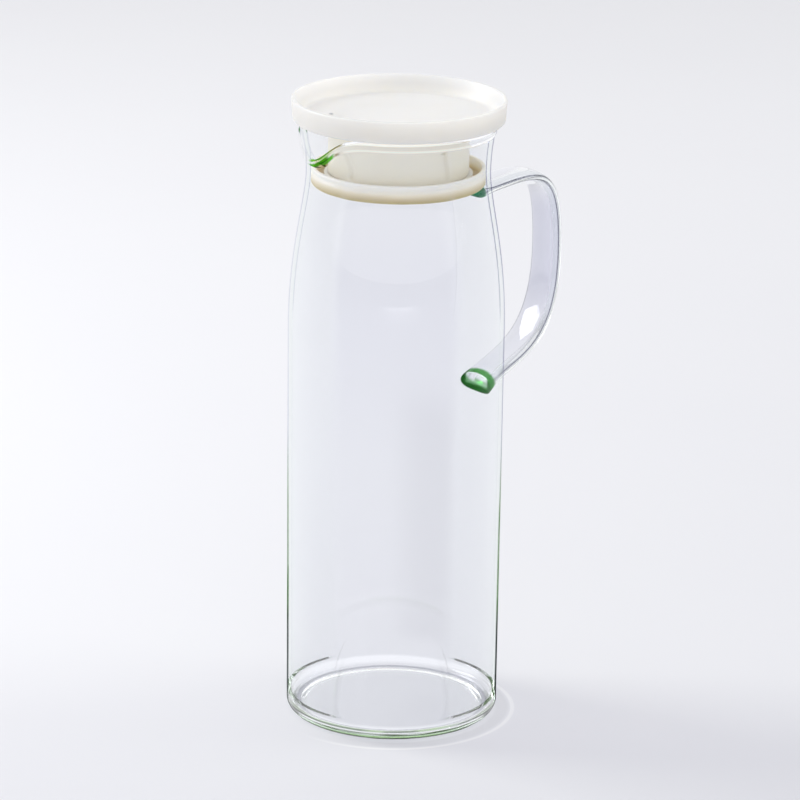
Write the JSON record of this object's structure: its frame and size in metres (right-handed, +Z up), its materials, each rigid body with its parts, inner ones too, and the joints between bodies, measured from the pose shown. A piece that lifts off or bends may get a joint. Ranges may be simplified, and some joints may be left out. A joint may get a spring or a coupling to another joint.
{
  "type": "glass water pitcher",
  "caption": "Tall blown glass jug with a pinched pouring lip, an applied glass strap handle and a push-in plastic lid with a soft sealing ring.",
  "frame": {"origin": "centre of the flat base, on the jug's axis", "axes": "+Z up along the jug's axis, +X towards the handle, -X towards the pouring lip; the object is symmetric about the XZ plane"},
  "size_m": [0.1302, 0.09, 0.265],
  "materials": {
    "vessel_glass": "clear, fire-polished",
    "handle_glass": "clear, fire-polished",
    "lid_plastic": "satin, slightly translucent white",
    "ring_silicone": "soft translucent silicone"
  },
  "bodies": {
    "vessel": {"glass_vessel": "vessel_glass", "glass_handle": "handle_glass"},
    "gasket": {"gasket": "ring_silicone"},
    "lid": {"lid": "lid_plastic"}
  },
  "joints": [
    {"name": "lid_lift", "type": "slide", "parent": "vessel", "child": "gasket", "axis": [0, 0, 1], "range_m": [0, 0.06]},
    {"name": "lid_turn", "type": "hinge", "parent": "gasket", "child": "lid", "pos_m": [0, 0, 0.24], "axis": [0, 0, 1], "continuous": true}
  ]
}
